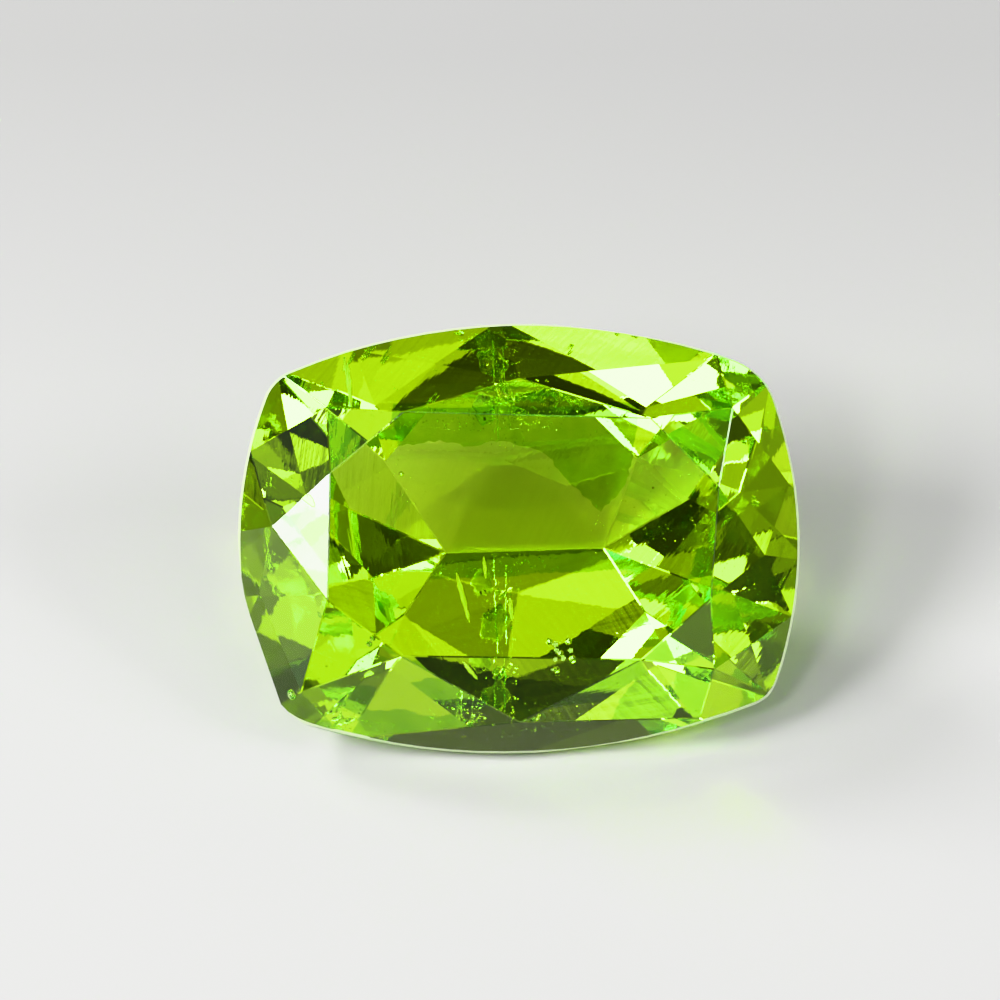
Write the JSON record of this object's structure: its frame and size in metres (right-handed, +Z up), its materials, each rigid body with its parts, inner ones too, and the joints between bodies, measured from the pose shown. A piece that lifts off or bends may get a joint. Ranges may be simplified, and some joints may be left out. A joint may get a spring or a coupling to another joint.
{
  "type": "faceted peridot",
  "caption": "Loose cushion-cut peridot of 8 by 6 mm: brilliant crown with a flat table, pavilion with a short keel, lying on one pavilion face.",
  "frame": {"origin": "on the surface that the stone lies on, under the middle of the stone's box", "axes": "+X along the stone's length, +Z up, -Y the side that the tilted table looks towards"},
  "size_m": [0.008, 0.005, 0.0042],
  "materials": {
    "peridot": "polished transparent yellowish green crystal, index about 1.67"
  },
  "bodies": {
    "root": {"peridot": "peridot"}
  },
  "joints": []
}
